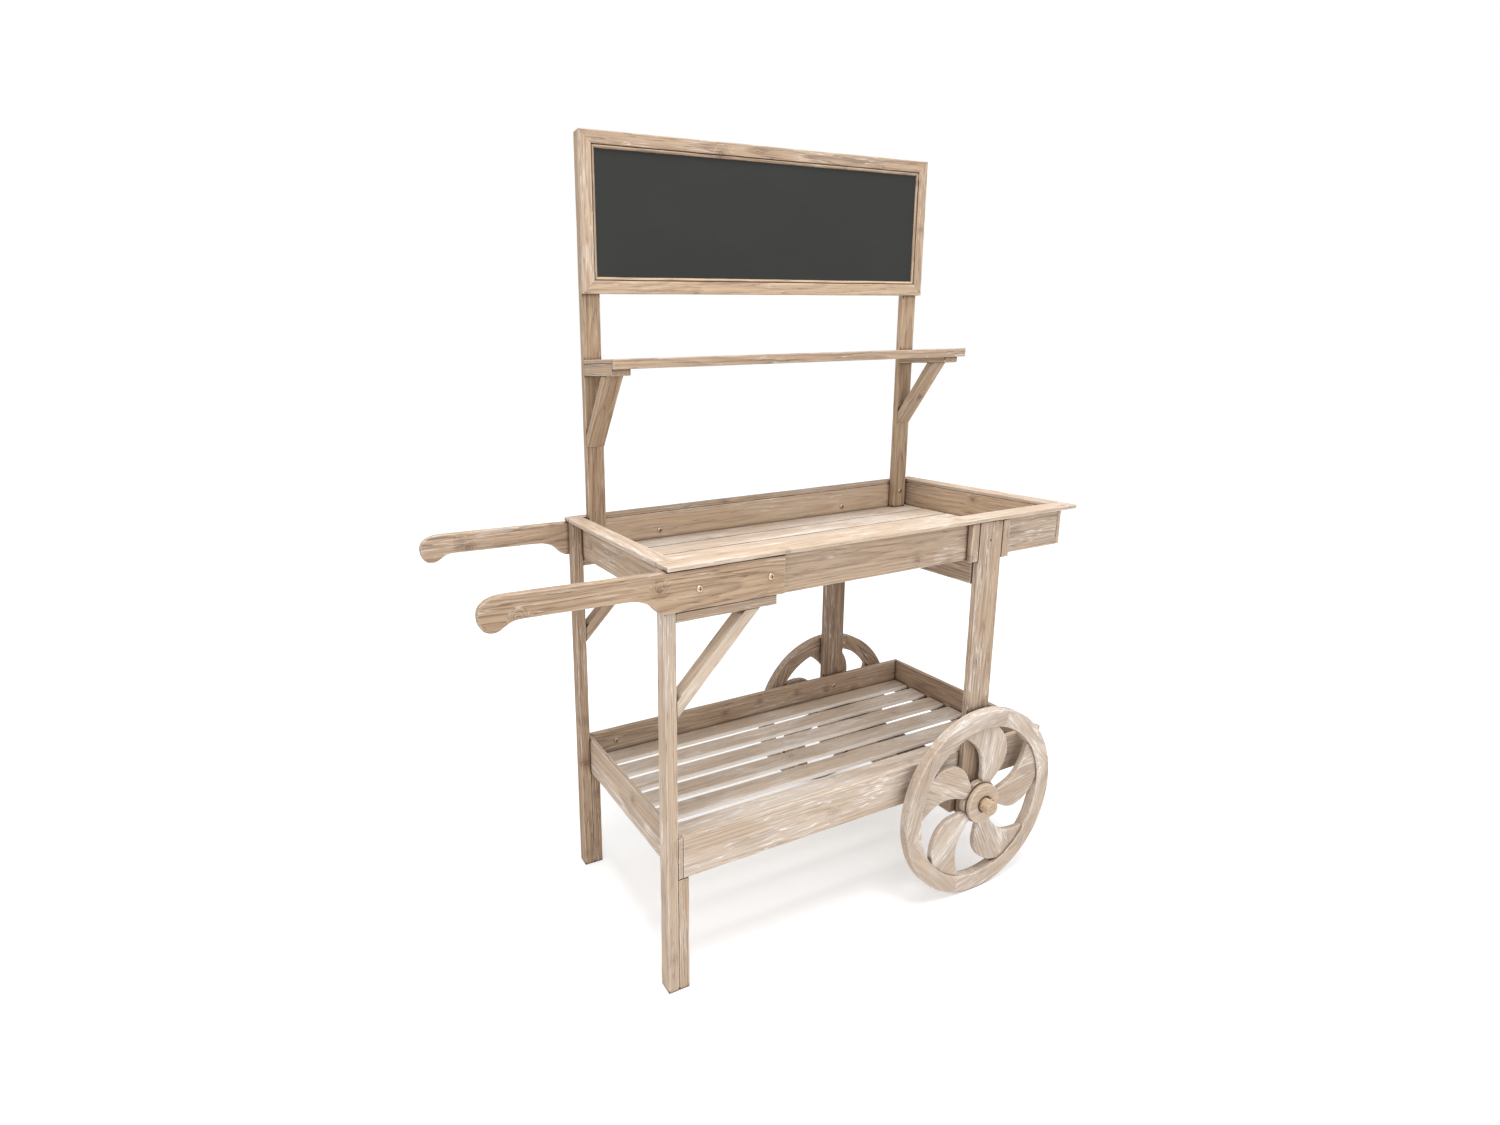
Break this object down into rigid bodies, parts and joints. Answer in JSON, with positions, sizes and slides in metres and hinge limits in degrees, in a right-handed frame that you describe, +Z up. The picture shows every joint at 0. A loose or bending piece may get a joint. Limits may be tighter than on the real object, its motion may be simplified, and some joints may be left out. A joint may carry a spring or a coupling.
{
  "type": "vending push cart",
  "caption": "Whitewashed wooden push cart with slatted trays, curved handles, spoked wheels, a rear shelf and a framed chalkboard on posts.",
  "frame": {"origin": "middle of the cart's overall footprint, on the floor", "axes": "+X along the cart from the push handles towards the wheels, +Y from the front to the sign at the back, +Z up"},
  "size_m": [1.43, 0.623, 1.75],
  "materials": {
    "washed_wood": "whitewashed, weathered, matt",
    "pale_wood": "whitewashed, weathered, matt, paler",
    "wheel_wood": "whitewashed, weathered, matt",
    "chalkboard": "matt charcoal chalkboard paint",
    "pin_steel": "plain nail steel"
  },
  "bodies": {
    "cart": {"axle_beam": "washed_wood", "axle_rod": "pale_wood", "cap_front_rail": "pale_wood", "cap_left_rail": "pale_wood", "cap_rear_rail": "pale_wood", "cap_right_rail": "pale_wood", "chalkboard": "chalkboard", "front_bracket_arm": "washed_wood", "front_bracket_brace": "washed_wood", "front_handle": "pale_wood", "front_left_cleat": "washed_wood", "front_left_leg": "washed_wood", "front_left_leg_block": "washed_wood", "front_linchpin": "pin_steel", "front_right_cleat": "washed_wood", "front_right_leg": "washed_wood", "left_post": "washed_wood", "left_shelf_arm": "washed_wood", "left_shelf_brace": "washed_wood", "lower_front_board": "washed_wood", "lower_left_batten": "washed_wood", "lower_left_board": "washed_wood", "lower_rear_board": "washed_wood", "lower_right_batten": "washed_wood", "lower_right_board": "washed_wood", "lower_slat_1": "pale_wood", "lower_slat_2": "pale_wood", "lower_slat_3": "pale_wood", "lower_slat_4": "pale_wood", "lower_slat_5": "pale_wood", "lower_slat_6": "pale_wood", "lower_slat_7": "pale_wood", "rear_bracket_arm": "washed_wood", "rear_bracket_brace": "washed_wood", "rear_handle": "pale_wood", "rear_left_cleat": "washed_wood", "rear_left_leg": "washed_wood", "rear_left_leg_block": "washed_wood", "rear_linchpin": "pin_steel", "rear_right_cleat": "washed_wood", "rear_right_leg": "washed_wood", "right_post": "washed_wood", "right_shelf_arm": "washed_wood", "right_shelf_brace": "washed_wood", "shelf_board": "pale_wood", "shelf_fascia": "pale_wood", "sign_bottom_rail": "pale_wood", "sign_left_stile": "pale_wood", "sign_right_stile": "pale_wood", "sign_top_rail": "pale_wood", "top_floor": "pale_wood", "top_front_board": "washed_wood", "top_left_board": "washed_wood", "top_rear_board": "washed_wood", "top_right_board": "washed_wood", "upper_cross_rail": "washed_wood"},
    "front_wheel_body": {"front_wheel": "wheel_wood", "front_hub_disc": "wheel_wood"},
    "rear_wheel_body": {"rear_wheel": "wheel_wood", "rear_hub_disc": "wheel_wood"}
  },
  "joints": [
    {"name": "front_wheel_spin", "type": "hinge", "parent": "cart", "child": "front_wheel_body", "pos_m": [0.443, -0.2705, 0.229], "axis": [0, 1, 0], "continuous": true},
    {"name": "rear_wheel_spin", "type": "hinge", "parent": "cart", "child": "rear_wheel_body", "pos_m": [0.443, 0.2705, 0.229], "axis": [0, 1, 0], "continuous": true}
  ]
}
